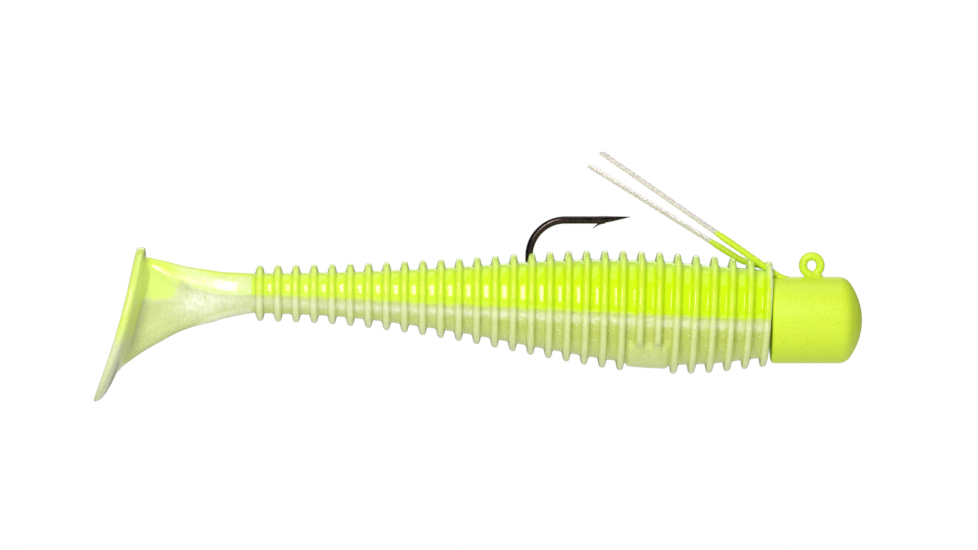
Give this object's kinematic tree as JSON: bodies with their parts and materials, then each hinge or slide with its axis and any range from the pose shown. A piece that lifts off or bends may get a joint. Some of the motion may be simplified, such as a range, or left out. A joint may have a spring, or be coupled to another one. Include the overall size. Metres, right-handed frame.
{
  "type": "swimbait",
  "caption": "Ribbed paddle-tail soft swimbait rigged on a weedless barrel-shaped jig head, with a jig hook and two folding cable weed guards.",
  "frame": {"origin": "centre of the line-tie eye's hole", "axes": "+X points from the paddle tail to the nose, +Z to the side that the hook point stands on, +Y runs across the bait along the eye's hole"},
  "size_m": [0.0861, 0.0126, 0.0281],
  "materials": {
    "head_paint": "satin",
    "black_nickel": "gloss",
    "stainless_wire": "satin",
    "painted_cable": "satin",
    "back_plastic": "gloss",
    "belly_plastic": "gloss"
  },
  "bodies": {
    "jig": {"jig_head": "head_paint", "hook": "black_nickel", "bait_keeper": "stainless_wire", "guard_root_far": "painted_cable", "guard_root_near": "painted_cable", "front_back": "back_plastic", "front_belly": "belly_plastic"},
    "bait_saddle": {"saddle_back": "back_plastic", "saddle_belly": "belly_plastic"},
    "bait_waist": {"waist_back": "back_plastic", "waist_belly": "belly_plastic"},
    "bait_middle": {"middle_back": "back_plastic", "middle_belly": "belly_plastic"},
    "bait_rear": {"rear_back": "back_plastic", "rear_belly": "belly_plastic"},
    "tail_wrist": {"wrist_back": "back_plastic", "wrist_belly": "belly_plastic"},
    "tail_paddle": {"paddle_back": "back_plastic", "paddle_belly": "belly_plastic"},
    "guard_far": {"guard_wire_far": "painted_cable"},
    "guard_near": {"guard_wire_near": "painted_cable"}
  },
  "joints": [
    {"name": "saddle_lift", "type": "hinge", "parent": "jig", "child": "bait_saddle", "pos_m": [-0.03446, 0, -0.00409], "axis": [0, 1, 0], "range_deg": [-12, 12], "stiffness_Nm_per_rad": 0.06},
    {"name": "waist_bend", "type": "hinge", "parent": "bait_saddle", "child": "bait_waist", "pos_m": [-0.04255, 0, -0.00366], "axis": [0, 0, 1], "range_deg": [-15, 15], "stiffness_Nm_per_rad": 0.012},
    {"name": "middle_bend", "type": "hinge", "parent": "bait_waist", "child": "bait_middle", "pos_m": [-0.05064, 0, -0.00331], "axis": [0, 0, 1], "range_deg": [-15, 15], "stiffness_Nm_per_rad": 0.006},
    {"name": "rear_bend", "type": "hinge", "parent": "bait_middle", "child": "bait_rear", "pos_m": [-0.05671, 0, -0.00314], "axis": [0, 0, 1], "range_deg": [-15, 15], "stiffness_Nm_per_rad": 0.004},
    {"name": "wrist_bend", "type": "hinge", "parent": "bait_rear", "child": "tail_wrist", "pos_m": [-0.06278, 0, -0.00308], "axis": [0, 0, 1], "range_deg": [-20, 20], "stiffness_Nm_per_rad": 0.0016},
    {"name": "paddle_kick", "type": "hinge", "parent": "tail_wrist", "child": "tail_paddle", "pos_m": [-0.06898, 0, -0.00308], "axis": [0, 0, 1], "range_deg": [-35, 35], "stiffness_Nm_per_rad": 0.001},
    {"name": "guard_fold_far", "type": "hinge", "parent": "jig", "child": "guard_far", "pos_m": [-0.009, 0, 0.00127], "axis": [0, -1, 0], "range_deg": [-6, 24], "stiffness_Nm_per_rad": 0.008},
    {"name": "guard_fold_near", "type": "hinge", "parent": "jig", "child": "guard_near", "pos_m": [-0.0076, 0, 0.00151], "axis": [0, -1, 0], "range_deg": [-6, 24], "stiffness_Nm_per_rad": 0.008}
  ]
}
